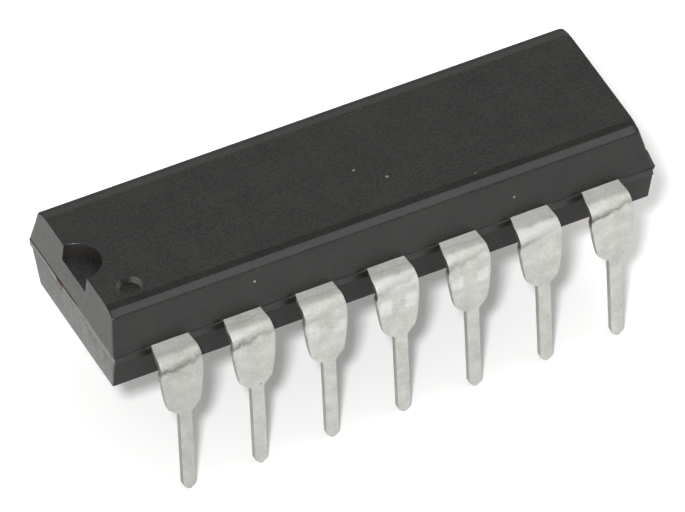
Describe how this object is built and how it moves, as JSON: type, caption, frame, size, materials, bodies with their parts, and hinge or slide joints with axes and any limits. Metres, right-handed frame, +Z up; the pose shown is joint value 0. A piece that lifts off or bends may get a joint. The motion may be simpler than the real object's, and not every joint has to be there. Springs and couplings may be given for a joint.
{
  "type": "dual in-line integrated circuit package",
  "caption": "Moulded chip package with a notch and a round mark at one end and two rows of bent, tin-plated leads.",
  "frame": {"origin": "between the two rows of leads and midway along them, level with the tips of the leads", "axes": "+X along the rows, away from the notch; +Y across the rows, away from lead 1's row; +Z up, out of the marked top"},
  "size_m": [0.0193, 0.0086, 0.0074],
  "materials": {
    "resin": "moulded, fine matte",
    "tin_plate": "satin tin plate over copper alloy",
    "bare_copper": "rolled copper alloy, sheared at the ends of the bars",
    "die_glue": "cured silver-filled glue",
    "silicon": "polished silicon",
    "gold": "drawn gold wire"
  },
  "bodies": {
    "root": {"body": "resin", "die_pad": "bare_copper", "die_glue": "die_glue", "die": "silicon", "lead_1": "tin_plate", "lead_2": "tin_plate", "lead_3": "tin_plate", "lead_4": "tin_plate", "lead_5": "tin_plate", "lead_6": "tin_plate", "lead_7": "tin_plate", "lead_8": "tin_plate", "lead_9": "tin_plate", "lead_10": "tin_plate", "lead_11": "tin_plate", "lead_12": "tin_plate", "lead_13": "tin_plate", "lead_14": "tin_plate", "bond_wire_1": "gold", "bond_wire_2": "gold", "bond_wire_3": "gold", "bond_wire_4": "gold", "bond_wire_5": "gold", "bond_wire_6": "gold", "bond_wire_7": "gold", "bond_wire_8": "gold", "bond_wire_9": "gold", "bond_wire_10": "gold", "bond_wire_11": "gold", "bond_wire_12": "gold", "bond_wire_13": "gold", "bond_wire_14": "gold"}
  },
  "joints": []
}
